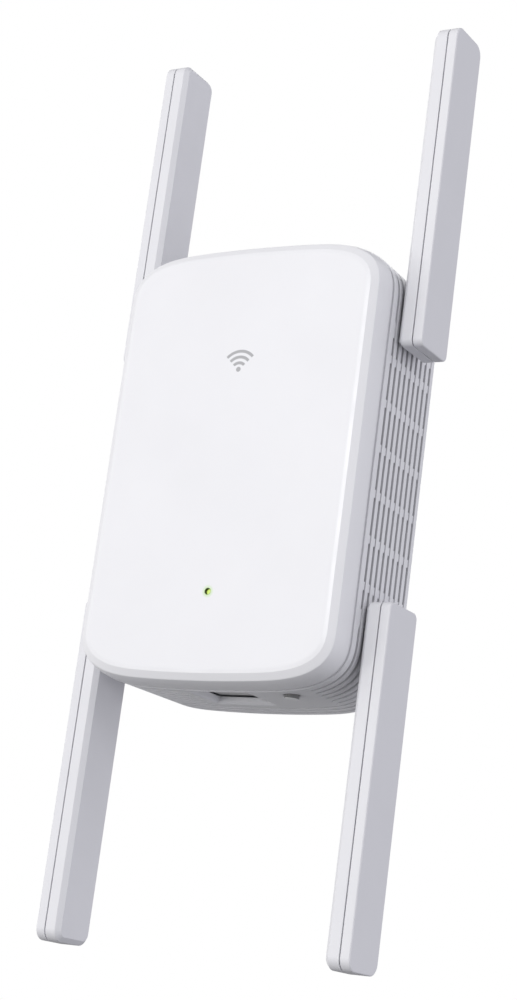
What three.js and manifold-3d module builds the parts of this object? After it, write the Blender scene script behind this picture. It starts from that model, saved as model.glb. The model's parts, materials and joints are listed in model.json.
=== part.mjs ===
// Wall-plug Wi-Fi range extender with four folding antennas, a LAN port and a push button.
// Millimetres. +Z is up, the front faces -Y and the wall is on the +Y side.
// Origin: centre of the plug boss's contact face, midway between the two mains pins.

import * as THREE from "three";
import { mergeVertices } from "three/addons/utils/BufferGeometryUtils.js";
import Module from "manifold-3d";

const wasm = await Module();
wasm.setup();

// ---------------------------------------------------------------- driving dimensions

const FIT_GAP = 0.3; // clearance kept between neighbouring pieces

// Body outline, seen from the front: straight sides, bowed ends, superelliptic corners.
const BODY_CENTRE_Z = 1.13;
const FACE_HALF_WIDTH = 38.12;
const FACE_HALF_HEIGHT = 60.08;
const END_BOW = 1.9;
const CORNER_WIDTH = 20.9;
const CORNER_HEIGHT = 11.4;
const CORNER_STEPS = 7;
const WALL = 2;

// Stations along Y, from the front face back to the wall.
const FACE_Y = -59.42;
const CREASE_Y = -57.85;
const PARTING_Y = -51.2;
const SIDE_END_Y = -20;
const BACK_Y = -18;
const PARTING_HALF_WIDTH = 40.9;
const PARTING_HALF_HEIGHT = 63.2;
const SIDE_END_HALF_WIDTH = 39.45;
const COVER_INNER_Y = FACE_Y + WALL;
const BACK_INNER_Y = BACK_Y - 2.2;

// Vent slots in the side walls: nine columns along Y, seven rows along Z.
const SLOT_COLUMNS = 9;
const SLOT_FIRST_Y = -46.93;
const SLOT_PITCH_Y = 3.145;
const SLOT_WIDTH = 1;
const SLOT_ROW_PITCH = 12.7;
const SLOT_LENGTH = 10.5;
const SLOT_OUTER_END = 38;

// Antennas: two half shells around a radiator, turning on a hollow stub.
const ANTENNA_LENGTH = 96;
const ANTENNA_DEPTH = 15.8;
const ANTENNA_INNER_X = 41.4;
const ANTENNA_OUTER_X = 49;
const ANTENNA_SEAM_X = 46;
const ANTENNA_FRONT_Y = -46.5;
const ANTENNA_ROOT_Z = 35.7;
const ANTENNA_CORNER = 3.4;
const ANTENNA_WALL = 1.1;
const HINGE_Y = ANTENNA_FRONT_Y + ANTENNA_DEPTH / 2;
const HINGE_Z = 43.5;
const STUB_RADIUS = 3.5;
const STUB_BORE_RADIUS = 2;
const STUB_END_X = 36;

// Mains plug: an eight-sided boss and two round pins.
const BOSS_HALF_WIDTH = 17.65;
const BOSS_HALF_HEIGHT = 6.85;
const BOSS_FLAT_HALF_WIDTH = 13;
const BOSS_SIDE_HALF_HEIGHT = 3;
const BOSS_WALL = 2.4;
const PIN_HALF_PITCH = 9.5;
const PIN_RADIUS = 2;
const PIN_TIP_Y = 19;
const SLEEVE_END_Y = 10;

// LAN jack, push button and status light.
const PORT_X = 0.45;
const PORT_Y = -40.7;
const PORT_HALF_WIDTH = 9.15;
const PORT_HALF_DEPTH = 7.8;
const PORT_BEVEL = 0.7;
const JACK_Y = -40.45;
const JACK_WIDTH = 17.6;
const JACK_DEPTH = 14.5;
const JACK_FRONT_Z = -59.6;
const JACK_LENGTH = 21;
const MOUTH_WIDTH = 11.8;
const MOUTH_FRONT_Y = -46.2;
const MOUTH_REAR_Y = -39.4;
const MOUTH_LENGTH = 14;
const BUTTON_X = 21.7;
const BUTTON_Y = -44.9;
const BUTTON_RADIUS = 2;
const BUTTON_TIP_Z = -62.6;
const LIGHT_Z = -36.6;

// Circuit boards, both upright, with their thickness along Y.
const MAIN_BOARD_FRONT_Y = -49.6;
const MAIN_BOARD_REAR_Y = -48;
const POWER_BOARD_FRONT_Y = -27;
const POWER_BOARD_REAR_Y = -25.4;
const PROCESSOR_HEIGHT = 1;
const HEAT_SINK_TIP_Y = -56.6;

// Housing screws, board screws and their posts.
const HOUSING_SCREW_X = 30;
const HOUSING_SCREW_Z = 50;
const SCREW_SEAT_Y = -46;
const MAIN_SCREWS = [[-22, -30], [22, 38]];
const POWER_SCREWS = [[-21, -16], [21, 32]];

// ---------------------------------------------------------------- finishes

function finish(color, roughness, metalness = 0) {
  return { color, roughness, metalness };
}

const WHITE_PLASTIC = finish(0xf2f2f5, 0.45);
const GREY_PLASTIC = finish(0x77787a, 0.55);
const DARK_PLASTIC = finish(0x26272a, 0.5);
const CLEAR_PLASTIC = finish(0xcfe8b8, 0.15);
const BOARD_GREEN = finish(0x1f5a3a, 0.5);
const NICKEL = finish(0xc9c9c6, 0.28, 1);
const COPPER = finish(0xb87443, 0.35, 1);
const STEEL = finish(0xa5a7aa, 0.35, 1);
const ALUMINIUM = finish(0xb9bbbe, 0.4, 1);
const BLACK_EPOXY = finish(0x1c1c1e, 0.6);
const CAN_SLEEVE = finish(0x2a3038, 0.4);
const FERRITE = finish(0x3b3836, 0.7);
const CABLE_BLACK = finish(0x202022, 0.6);
const LED_WHITE = finish(0xe9f2cf, 0.3);

// ---------------------------------------------------------------- geometry helpers

// A manifold from a closed skin; a skin that was wound inwards is turned the right way out.
function manifoldOf(positions, triangles) {
  const build = (triVerts) => new wasm.Manifold(new wasm.Mesh({
    numProp: 3,
    vertProperties: new Float32Array(positions),
    triVerts: new Uint32Array(triVerts),
  }));
  const body = build(triangles);
  return body.volume() > 0 ? body : build(triangles.toReversed());
}

function solid(geometry) {
  const bare = geometry.clone();
  bare.deleteAttribute("normal");
  bare.deleteAttribute("uv");
  const merged = mergeVertices(bare, 1e-5);
  return manifoldOf(merged.attributes.position.array, merged.index.array);
}

function geometryOf(manifold) {
  const mesh = manifold.getMesh();
  const geometry = new THREE.BufferGeometry();
  geometry.setAttribute("position", new THREE.BufferAttribute(mesh.vertProperties, 3));
  geometry.setIndex(new THREE.BufferAttribute(mesh.triVerts, 1));
  return geometry;
}

function box(xRange, yRange, zRange) {
  const size = [xRange, yRange, zRange].map(([low, high]) => high - low);
  const centre = [xRange, yRange, zRange].map(([low, high]) => (high + low) / 2);
  return solid(new THREE.BoxGeometry(...size).translate(...centre));
}

function around(centre, width) {
  return [centre - width / 2, centre + width / 2];
}

// A closed body of revolution about +Y; profile points are [radius, height].
function turned(profile, segments = 16) {
  const points = profile.map(([radius, height]) => new THREE.Vector2(radius, height));
  return new THREE.LatheGeometry(points, segments);
}

// The same profile, made a solid of revolution along the given direction.
function rod(profile, direction, [x, y, z], segments = 16) {
  const turn = new THREE.Quaternion().setFromUnitVectors(new THREE.Vector3(0, 1, 0), direction);
  return solid(turned(profile, segments).applyQuaternion(turn).translate(x, y, z));
}

const ALONG_X = new THREE.Vector3(1, 0, 0);
const ALONG_Y = new THREE.Vector3(0, 1, 0);
const ALONG_Z = new THREE.Vector3(0, 0, 1);

function cylinder(radius, low, high, direction, place, segments = 16) {
  return rod([[0, low], [radius, low], [radius, high], [0, high]], direction, place, segments);
}

// A ring with a square section, from two radii and two heights.
function collar(inner, outer, low, high, direction, place, segments = 16) {
  const profile = [[inner, low], [outer, low], [outer, high], [inner, high], [inner, low]];
  return rod(profile, direction, place, segments);
}

// Skin over a row of convex rings that hold the same number of points, closed at both ends.
function loft(rings) {
  const count = rings[0].length;
  const positions = rings.flat().flatMap((point) => point.toArray());
  const triangles = [];
  for (let ring = 0; ring + 1 < rings.length; ring += 1) {
    for (let i = 0; i < count; i += 1) {
      const a = ring * count + i;
      const b = ring * count + (i + 1) % count;
      triangles.push(a, b, b + count, a, b + count, a + count);
    }
  }
  const last = (rings.length - 1) * count;
  for (let i = 1; i + 1 < count; i += 1) {
    triangles.push(0, i + 1, i, last, last + i, last + i + 1);
  }
  return manifoldOf(positions, triangles);
}

const parts = new THREE.Group();

function place(name, manifold, look, parent = parts) {
  const material = new THREE.MeshStandardMaterial(look);
  const mesh = new THREE.Mesh(geometryOf(manifold), material);
  mesh.name = name;
  parent.add(mesh);
  return mesh;
}

// ---------------------------------------------------------------- body outline

function outlineQuadrant(halfWidth, halfHeight) {
  const cornerWidth = CORNER_WIDTH + halfWidth - FACE_HALF_WIDTH;
  const cornerHeight = CORNER_HEIGHT + halfHeight - FACE_HALF_HEIGHT;
  const points = [[0, halfHeight]];
  for (let step = 0; step <= CORNER_STEPS; step += 1) {
    const angle = (step / CORNER_STEPS) * (Math.PI / 2);
    const x = halfWidth - cornerWidth + cornerWidth * Math.sin(angle) ** (2 / 3);
    const rise = cornerHeight * Math.max(Math.cos(angle), 0) ** (2 / 3);
    points.push([x, halfHeight - END_BOW * (x / halfWidth) ** 2 - cornerHeight + rise]);
  }
  return points;
}

// One closed ring of the body at station y, clockwise as seen from the front.
function bodyRing([y, halfWidth, halfHeight]) {
  const quadrant = outlineQuadrant(halfWidth, halfHeight);
  const right = [...quadrant, ...quadrant.toReversed().map(([x, z]) => [x, -z])];
  const left = right.slice(1, -1).toReversed().map(([x, z]) => [-x, z]);
  return [...right, ...left].map(([x, z]) => new THREE.Vector3(x, y, BODY_CENTRE_Z + z));
}

function bodyLoft(stations) {
  return loft(stations.map(bodyRing));
}

// ---------------------------------------------------------------- front cover

function frontCover() {
  const rearY = PARTING_Y - FIT_GAP / 2;
  const skin = bodyLoft([
    [FACE_Y, FACE_HALF_WIDTH - 0.35, FACE_HALF_HEIGHT - 0.35],
    [FACE_Y + 0.2, FACE_HALF_WIDTH, FACE_HALF_HEIGHT],
    [CREASE_Y, 40, 61.96],
    [-54.8, 40.6, 62.85],
    [rearY, PARTING_HALF_WIDTH, PARTING_HALF_HEIGHT],
  ]);
  const tongueGap = WALL + FIT_GAP;
  const tongueEndY = PARTING_Y + 2.7;
  const tongue = bodyLoft([
    [-54, PARTING_HALF_WIDTH - tongueGap, PARTING_HALF_HEIGHT - tongueGap],
    [tongueEndY, PARTING_HALF_WIDTH - tongueGap - 0.2, PARTING_HALF_HEIGHT - tongueGap],
  ]);
  const hollow = bodyLoft([
    [COVER_INNER_Y, 37.6, 59.4],
    [-54.4, 38.4, 60.6],
    [-53.6, 37.2, 59.5],
    [tongueEndY + 1, 37.2, 59.5],
  ]);
  let cover = skin.add(tongue).subtract(hollow);
  for (const x of [-HOUSING_SCREW_X, HOUSING_SCREW_X]) {
    for (const z of [-HOUSING_SCREW_Z, HOUSING_SCREW_Z]) {
      cover = cover.add(cylinder(3.2, COVER_INNER_Y - 1, SCREW_SEAT_Y - 2.3, ALONG_Y, [x, 0, z]));
      cover = cover.subtract(cylinder(1.8, -56, -45, ALONG_Y, [x, 0, z], 10));
    }
  }
  for (const [x, z] of MAIN_SCREWS) {
    cover = cover.add(cylinder(2.8, COVER_INNER_Y - 1, MAIN_BOARD_FRONT_Y - FIT_GAP, ALONG_Y, [x, 0, z]));
    cover = cover.subtract(cylinder(1.6, -56, -45, ALONG_Y, [x, 0, z], 10));
  }
  const lightGuide = cylinder(2.4, COVER_INNER_Y - 1, -53, ALONG_Y, [0, 0, LIGHT_Z]);
  cover = cover.add(lightGuide);
  cover = cover.subtract(cylinder(1.05, FACE_Y - 1, -52, ALONG_Y, [0, 0, LIGHT_Z]));
  return cover.subtract(cylinder(1.4, -57.6, -52, ALONG_Y, [0, 0, LIGHT_Z]));
}

// ---------------------------------------------------------------- rear housing

function sideSlots() {
  const slots = [];
  for (let column = 0; column < SLOT_COLUMNS; column += 1) {
    const yRange = around(SLOT_FIRST_Y + column * SLOT_PITCH_Y, SLOT_WIDTH);
    for (let row = -3; row <= 3; row += 1) {
      const [low, high] = around(row * SLOT_ROW_PITCH, SLOT_LENGTH);
      const zRange = [Math.max(low, -SLOT_OUTER_END), Math.min(high, SLOT_OUTER_END)];
      slots.push(box([-45, -35], yRange, zRange), box([35, 45], yRange, zRange));
    }
  }
  return wasm.Manifold.union(slots);
}

function bossRing(y, inset) {
  const halfWidth = BOSS_HALF_WIDTH - inset;
  const halfHeight = BOSS_HALF_HEIGHT - inset;
  const flat = BOSS_FLAT_HALF_WIDTH - inset / 2;
  const side = BOSS_SIDE_HALF_HEIGHT - inset / 3;
  const right = [[flat, halfHeight], [halfWidth, side], [halfWidth, -side], [flat, -halfHeight]];
  const left = right.toReversed().map(([x, z]) => [-x, z]);
  return [...right, ...left].map(([x, z]) => new THREE.Vector3(x, y, z));
}

// Bevelled window that the LAN jack stands in, set back from the underside.
function portWindow() {
  const surfaceZ = BODY_CENTRE_Z - PARTING_HALF_HEIGHT;
  const ring = (z, grow) => [[1, 1], [1, -1], [-1, -1], [-1, 1]].map(([sx, sy]) => new THREE.Vector3(
    PORT_X + sx * (PORT_HALF_WIDTH + grow),
    PORT_Y + sy * (PORT_HALF_DEPTH + grow),
    z,
  ));
  return loft([
    ring(surfaceZ - 0.5, PORT_BEVEL + 0.5),
    ring(surfaceZ + PORT_BEVEL, 0),
    ring(surfaceZ + 4, 0),
  ]);
}

function rearHousing() {
  const frontY = PARTING_Y + FIT_GAP / 2;
  const skin = bodyLoft([
    [frontY, PARTING_HALF_WIDTH, PARTING_HALF_HEIGHT],
    [SIDE_END_Y, SIDE_END_HALF_WIDTH, PARTING_HALF_HEIGHT],
    [-18.6, SIDE_END_HALF_WIDTH - 0.5, PARTING_HALF_HEIGHT - 0.5],
    [BACK_Y, SIDE_END_HALF_WIDTH - 1.8, PARTING_HALF_HEIGHT - 1.8],
  ]);
  const hollow = bodyLoft([
    [frontY - 1, PARTING_HALF_WIDTH - WALL, PARTING_HALF_HEIGHT - WALL],
    [BACK_INNER_Y, SIDE_END_HALF_WIDTH - WALL, PARTING_HALF_HEIGHT - WALL],
  ]);
  const boss = loft([bossRing(BACK_Y - 0.5, 0), bossRing(-0.6, 0), bossRing(0, 0.6)]);
  const bossHollow = loft([bossRing(BACK_INNER_Y - 1, BOSS_WALL), bossRing(-2.5, BOSS_WALL)]);
  let tub = skin.subtract(hollow).add(boss).subtract(bossHollow);

  for (const x of [-HOUSING_SCREW_X, HOUSING_SCREW_X]) {
    for (const z of [-HOUSING_SCREW_Z, HOUSING_SCREW_Z]) {
      tub = tub.add(cylinder(4.2, SCREW_SEAT_Y - 2, BACK_INNER_Y + 0.5, ALONG_Y, [x, 0, z]));
      tub = tub.subtract(cylinder(3.1, SCREW_SEAT_Y, BACK_Y + 1, ALONG_Y, [x, 0, z]));
      tub = tub.subtract(cylinder(1.8, SCREW_SEAT_Y - 3, SCREW_SEAT_Y + 1, ALONG_Y, [x, 0, z], 10));
    }
  }
  for (const [x, z] of POWER_SCREWS) {
    tub = tub.add(cylinder(3, POWER_BOARD_REAR_Y + FIT_GAP, BACK_INNER_Y + 0.5, ALONG_Y, [x, 0, z]));
    tub = tub.subtract(cylinder(1.6, -26, BACK_INNER_Y + 0.2, ALONG_Y, [x, 0, z], 10));
  }
  for (const x of [-PIN_HALF_PITCH, PIN_HALF_PITCH]) {
    tub = tub.subtract(cylinder(PIN_RADIUS + 0.35, -4, 1, ALONG_Y, [x, 0, 0]));
  }
  for (const z of [-HINGE_Z, HINGE_Z]) {
    tub = tub.subtract(cylinder(STUB_RADIUS + 0.4, -45, -35, ALONG_X, [0, HINGE_Y, z]));
    tub = tub.subtract(cylinder(STUB_RADIUS + 0.4, 35, 45, ALONG_X, [0, HINGE_Y, z]));
  }
  tub = tub.subtract(cylinder(BUTTON_RADIUS + 0.35, -65, -58, ALONG_Z, [BUTTON_X, BUTTON_Y, 0]));
  return tub.subtract(portWindow()).subtract(sideSlots());
}

// ---------------------------------------------------------------- mains plug

function plugPin(x) {
  const flangeY = -2.8;
  const profile = [
    [0, -12], [1.8, -12], [1.8, flangeY - 1.2], [3, flangeY - 1.2], [3, flangeY], [1.3, flangeY],
    [1.3, SLEEVE_END_Y + 0.1], [PIN_RADIUS, SLEEVE_END_Y + 0.1], [PIN_RADIUS, PIN_TIP_Y - 1],
    [1.3, PIN_TIP_Y], [0, PIN_TIP_Y],
  ];
  return rod(profile, ALONG_Y, [x, 0, 0]);
}

function plug() {
  for (const [side, x] of [["left", -PIN_HALF_PITCH], ["right", PIN_HALF_PITCH]]) {
    place(`plug_pin_${side}`, plugPin(x), NICKEL);
    const sleeve = collar(1.6, PIN_RADIUS, -2.4, SLEEVE_END_Y - 0.2, ALONG_Y, [x, 0, 0]);
    place(`pin_sleeve_${side}`, sleeve, DARK_PLASTIC);
    const pad = box(around(x, 4), [-12.9, -12.3], [-3, 3.4]);
    const leg = box(around(x, 3), [POWER_BOARD_REAR_Y + FIT_GAP, -12.4], [2.8, 3.4]);
    place(`contact_lead_${side}`, pad.add(leg), COPPER);
  }
  let retainer = box(around(0, 24.8), [-6.8, -4.4], around(0, 7.4));
  for (const x of [-PIN_HALF_PITCH, PIN_HALF_PITCH]) {
    retainer = retainer.subtract(cylinder(2.15, -8, -3, ALONG_Y, [x, 0, 0]));
  }
  place("pin_retainer", retainer, DARK_PLASTIC);
}

// ---------------------------------------------------------------- power board

function transformer() {
  const core = box(around(-9, 15), around(-35, 11), around(22, 6));
  const bobbin = box(around(-9, 10), [-41.2, -27.3], around(22, 14));
  return core.add(bobbin);
}

function canCapacitor(radius, low, high, x, y) {
  const waist = radius - 0.5;
  const profile = [
    [0, low], [radius, low], [radius, high - 3], [waist, high - 2.5], [waist, high - 2],
    [radius, high - 1.5], [radius, high], [0, high],
  ];
  return rod(profile, ALONG_Z, [x, y, 0]);
}

function powerBoard() {
  let board = box(around(0, 52), [POWER_BOARD_FRONT_Y, POWER_BOARD_REAR_Y], [-22, 38]);
  for (const [x, z] of POWER_SCREWS) {
    board = board.subtract(cylinder(1.8, -28, -24, ALONG_Y, [x, 0, z]));
  }
  place("power_board", board, BOARD_GREEN);
  const mountY = POWER_BOARD_FRONT_Y - FIT_GAP;
  place("transformer", transformer(), FERRITE);
  place("input_capacitor", canCapacitor(5, -8, 10, -16, mountY - 5.1), CAN_SLEEVE);
  place("output_capacitor", canCapacitor(4, 14, 29, 14, mountY - 4.1), CAN_SLEEVE);
  place("rectifier", box(around(4, 6), [mountY - 2.6, mountY], around(-4, 7)), BLACK_EPOXY);
  const fuse = rod([[0, -4.5], [2, -4.5], [2, 4.5], [0, 4.5]], ALONG_Z, [-6, mountY - 2.4, -15]);
  place("fuse", fuse, DARK_PLASTIC);
  const choke = collar(2.6, 6, -3, 3, ALONG_X, [12, mountY - 6.4, -10]);
  place("input_choke", choke, COPPER);
  POWER_SCREWS.forEach(([x, z], index) => {
    const profile = [
      [0, -21.4], [1.2, -21.4], [1.2, POWER_BOARD_FRONT_Y - FIT_GAP],
      [2.6, POWER_BOARD_FRONT_Y - FIT_GAP], [2.6, -29], [0, -29],
    ];
    place(`power_board_screw_${index + 1}`, rod(profile, ALONG_Y, [x, 0, z], 12), STEEL);
  });
}

// ---------------------------------------------------------------- main board

// The board is narrower at its ends, where the housing's screw posts stand beside it.
function mainBoardOutline() {
  const corners = [
    [34, -43], [34, 44], [24.5, 44], [24.5, 57], [-24.5, 57], [-24.5, 44],
    [-34, 44], [-34, -43], [-24.5, -43], [-24.5, -57], [24.5, -57], [24.5, -43],
  ];
  return new THREE.Shape(corners.map(([x, z]) => new THREE.Vector2(x, z)));
}

function upright(shape, frontY, rearY) {
  const geometry = new THREE.ExtrudeGeometry(shape, { depth: rearY - frontY, bevelEnabled: false });
  return solid(geometry.rotateX(Math.PI / 2).translate(0, rearY, 0));
}

function heatSink() {
  const width = 30;
  const fins = 7;
  const finWidth = 1.4;
  const zRange = around(17, 30);
  const baseY = MAIN_BOARD_FRONT_Y - PROCESSOR_HEIGHT - 2 * FIT_GAP;
  let sink = box(around(0, width), [baseY - 1.2, baseY], zRange);
  for (let fin = 0; fin < fins; fin += 1) {
    const x = (fin / (fins - 1) - 0.5) * (width - finWidth);
    sink = sink.add(box(around(x, finWidth), [HEAT_SINK_TIP_Y, baseY - 1], zRange));
  }
  return sink;
}

function shieldCan(x, z, width, height) {
  const rearY = MAIN_BOARD_REAR_Y + FIT_GAP;
  const can = box(around(x, width), [rearY, rearY + 2.4], around(z, height));
  const inside = box(around(x, width - 1), [rearY - 1, rearY + 1.9], around(z, height - 1));
  return can.subtract(inside);
}

// The jack's cavity has a wide mouth and a narrower slot for the plug's latch.
function lanJack() {
  const xRange = around(PORT_X, JACK_WIDTH);
  const yRange = around(JACK_Y, JACK_DEPTH);
  const mouthZ = [JACK_FRONT_Z - 1, JACK_FRONT_Z + MOUTH_LENGTH];
  const body = box(xRange, yRange, [JACK_FRONT_Z, JACK_FRONT_Z + JACK_LENGTH]);
  const mouth = box(around(PORT_X, MOUTH_WIDTH), [MOUTH_FRONT_Y, MOUTH_REAR_Y], mouthZ);
  const latchSlot = box(around(PORT_X, 6.2), [MOUTH_FRONT_Y - 0.9, MOUTH_FRONT_Y + 0.1], mouthZ);
  return body.subtract(mouth).subtract(latchSlot);
}

// Eight spring contacts along the rear side of the jack's mouth, joined at their roots.
function jackContacts() {
  const pitch = 1.02;
  const finger = 0.5;
  const rootZ = JACK_FRONT_Z + 12.2;
  const tipZ = JACK_FRONT_Z + 3.5;
  const yRange = [MOUTH_REAR_Y - 0.9, MOUTH_REAR_Y - 0.4];
  let comb = box(around(PORT_X, 9), yRange, [rootZ, rootZ + 1.2]);
  for (let contact = 0; contact < 8; contact += 1) {
    const x = PORT_X + (contact - 3.5) * pitch;
    comb = comb.add(box(around(x, finger), yRange, [tipZ, rootZ + 0.5]));
  }
  return comb;
}

function statusLight() {
  const yRange = [MAIN_BOARD_FRONT_Y - 1.2, MAIN_BOARD_FRONT_Y - FIT_GAP];
  place("status_led", box(around(0, 1.8), yRange, around(LIGHT_Z, 1.2)), LED_WHITE);
  const profile = [
    [0, FACE_Y + 0.1], [0.75, FACE_Y + 0.1], [0.75, -57.2], [1.1, -57.2], [1.1, -52.4],
    [2, -52.4], [2, -51.2], [0, -51.2],
  ];
  place("light_pipe", rod(profile, ALONG_Y, [0, 0, LIGHT_Z]), CLEAR_PLASTIC);
}

function mainBoard() {
  let board = upright(mainBoardOutline(), MAIN_BOARD_FRONT_Y, MAIN_BOARD_REAR_Y);
  for (const [x, z] of MAIN_SCREWS) {
    board = board.subtract(cylinder(1.8, -51, -47, ALONG_Y, [x, 0, z]));
  }
  place("main_board", board, BOARD_GREEN);
  const frontY = MAIN_BOARD_FRONT_Y - FIT_GAP;
  const rearY = MAIN_BOARD_REAR_Y + FIT_GAP;
  const processor = box(around(0, 14), [frontY - PROCESSOR_HEIGHT, frontY], around(17, 14));
  place("processor", processor, BLACK_EPOXY);
  place("heat_sink", heatSink(), ALUMINIUM);
  place("memory_chip", box(around(-14, 9), [frontY - 1, frontY], around(-10, 12)), BLACK_EPOXY);
  place("radio_shield_upper", shieldCan(0, 42, 34, 18), STEEL);
  place("radio_shield_lower", shieldCan(-14, -14, 22, 24), STEEL);
  place("lan_magnetics", box(around(PORT_X, 13), [rearY, rearY + 4], around(-34, 8)), BLACK_EPOXY);
  place("board_link", box(around(18, 5), [rearY, POWER_BOARD_FRONT_Y - FIT_GAP], around(4, 12)),
    DARK_PLASTIC);
  MAIN_SCREWS.forEach(([x, z], index) => {
    const profile = [
      [0, -54.5], [1.2, -54.5], [1.2, rearY], [2.6, rearY], [2.6, rearY + 1.8], [0, rearY + 1.8],
    ];
    place(`main_board_screw_${index + 1}`, rod(profile, ALONG_Y, [x, 0, z], 12), STEEL);
  });
}

function lanPort() {
  place("lan_jack", lanJack(), GREY_PLASTIC);
  place("jack_contacts", jackContacts(), NICKEL);
}

// ---------------------------------------------------------------- push button

function pushButton() {
  const profile = [
    [0, BUTTON_TIP_Z], [BUTTON_RADIUS - 0.25, BUTTON_TIP_Z], [BUTTON_RADIUS, BUTTON_TIP_Z + 0.25],
    [BUTTON_RADIUS, -58.6], [3.1, -58.6], [3.1, -57.8], [1.2, -57.8], [1.2, -56.3], [0, -56.3],
  ];
  place("push_button", rod(profile, ALONG_Z, [BUTTON_X, BUTTON_Y, 0]), GREY_PLASTIC);
  const rearY = MAIN_BOARD_REAR_Y + FIT_GAP;
  place("push_switch", box(around(BUTTON_X, 6), [rearY, rearY + 4.4], [-55.3, -51.6]), DARK_PLASTIC);
}

// ---------------------------------------------------------------- housing screws

function housingScrews() {
  for (const [across, x] of [["left", -HOUSING_SCREW_X], ["right", HOUSING_SCREW_X]]) {
    for (const [level, z] of [["lower", -HOUSING_SCREW_Z], ["upper", HOUSING_SCREW_Z]]) {
      const profile = [
        [0, -55.4], [1.4, -55.4], [1.4, SCREW_SEAT_Y + FIT_GAP], [2.7, SCREW_SEAT_Y + FIT_GAP],
        [2.7, SCREW_SEAT_Y + 2.2], [0, SCREW_SEAT_Y + 2.2],
      ];
      place(`housing_screw_${level}_${across}`, rod(profile, ALONG_Y, [x, 0, z], 12), STEEL);
    }
  }
}

// ---------------------------------------------------------------- antennas

// Rounded oblong in the YZ plane at station x, for the antenna that stands up on the right.
function antennaRing(x, inset) {
  const halfDepth = ANTENNA_DEPTH / 2 - inset;
  const halfLength = ANTENNA_LENGTH / 2 - inset;
  const radius = Math.max(ANTENNA_CORNER - inset, 0.4);
  const centreZ = ANTENNA_ROOT_Z + ANTENNA_LENGTH / 2;
  const steps = 4;
  const ring = [];
  for (const [quarter, sy, sz] of [[0, 1, 1], [1, -1, 1], [2, -1, -1], [3, 1, -1]]) {
    for (let step = 0; step <= steps; step += 1) {
      const angle = (quarter + step / steps) * (Math.PI / 2);
      const y = HINGE_Y + sy * (halfDepth - radius) + radius * Math.cos(angle);
      const z = centreZ + sz * (halfLength - radius) + radius * Math.sin(angle);
      ring.push(new THREE.Vector3(x, y, z));
    }
  }
  return ring;
}

function antennaLoft(stations) {
  return loft(stations.map(([x, inset]) => antennaRing(x, inset)));
}

function antennaOuterShell() {
  const seam = ANTENNA_SEAM_X + FIT_GAP / 2;
  const skin = antennaLoft([[seam, 0], [ANTENNA_OUTER_X - 0.4, 0], [ANTENNA_OUTER_X, 0.4]]);
  const hollow = antennaLoft([[seam - 1, ANTENNA_WALL], [ANTENNA_OUTER_X - 1.2, ANTENNA_WALL]]);
  return skin.subtract(hollow);
}

// The stub's groove takes the retaining clip inside the housing wall.
function hingeStub() {
  const profile = [
    [STUB_BORE_RADIUS, STUB_END_X], [STUB_RADIUS - 0.4, STUB_END_X],
    [STUB_RADIUS, STUB_END_X + 0.4], [STUB_RADIUS, 36.6], [2.9, 36.6], [2.9, 37.9],
    [STUB_RADIUS, 37.9], [STUB_RADIUS, ANTENNA_INNER_X + 0.6],
    [STUB_BORE_RADIUS, ANTENNA_INNER_X + 0.6], [STUB_BORE_RADIUS, STUB_END_X],
  ];
  return rod(profile, ALONG_X, [0, HINGE_Y, HINGE_Z]);
}

function antennaInnerShell() {
  const seam = ANTENNA_SEAM_X - FIT_GAP / 2;
  const skin = antennaLoft([[ANTENNA_INNER_X, 1.3], [ANTENNA_INNER_X + 1.3, 0], [seam, 0]]);
  const hollow = antennaLoft([[ANTENNA_INNER_X + 1.3, ANTENNA_WALL + 0.3], [seam + 1, ANTENNA_WALL]]);
  let shell = skin.subtract(hollow).add(hingeStub());
  for (const z of [60, 115]) {
    shell = shell.add(box([ANTENNA_INNER_X + 1, 43.5], around(HINGE_Y, 6), around(z, 3)));
  }
  const bore = cylinder(STUB_BORE_RADIUS, STUB_END_X + 3, 44, ALONG_X, [0, HINGE_Y, HINGE_Z]);
  return shell.subtract(bore);
}

function radiator() {
  return box([43.8, 44.6], around(HINGE_Y, 9), [50, 125]);
}

// An open spring ring in the stub's groove.
function hingeClip() {
  const shape = new THREE.Shape();
  const opening = 0.6;
  shape.absarc(0, 0, 5.2, opening, 2 * Math.PI - opening, false);
  shape.absarc(0, 0, 3.25, 2 * Math.PI - opening, opening, true);
  shape.closePath();
  const geometry = new THREE.ExtrudeGeometry(shape, { depth: 0.7, bevelEnabled: false, curveSegments: 12 });
  return solid(geometry.rotateY(Math.PI / 2).translate(36.9, HINGE_Y, HINGE_Z));
}

// Antenna lead: out of the stub's bore, then down and forward to the main board.
function coaxLead() {
  const route = new THREE.CatmullRomCurve3([
    new THREE.Vector3(42.9, HINGE_Y, HINGE_Z),
    new THREE.Vector3(39, HINGE_Y, HINGE_Z),
    new THREE.Vector3(34.5, HINGE_Y, HINGE_Z),
    new THREE.Vector3(31, HINGE_Y - 1.6, HINGE_Z - 3.2),
    new THREE.Vector3(29.2, HINGE_Y - 4.8, HINGE_Z - 7.5),
    new THREE.Vector3(28.6, MAIN_BOARD_REAR_Y + 0.8, HINGE_Z - 10.5),
  ]);
  const section = new THREE.Shape();
  section.absarc(0, 0, 0.65, 0, 2 * Math.PI, false);
  const options = { steps: 14, bevelEnabled: false, extrudePath: route, curveSegments: 4 };
  return solid(new THREE.ExtrudeGeometry(section, options));
}

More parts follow.
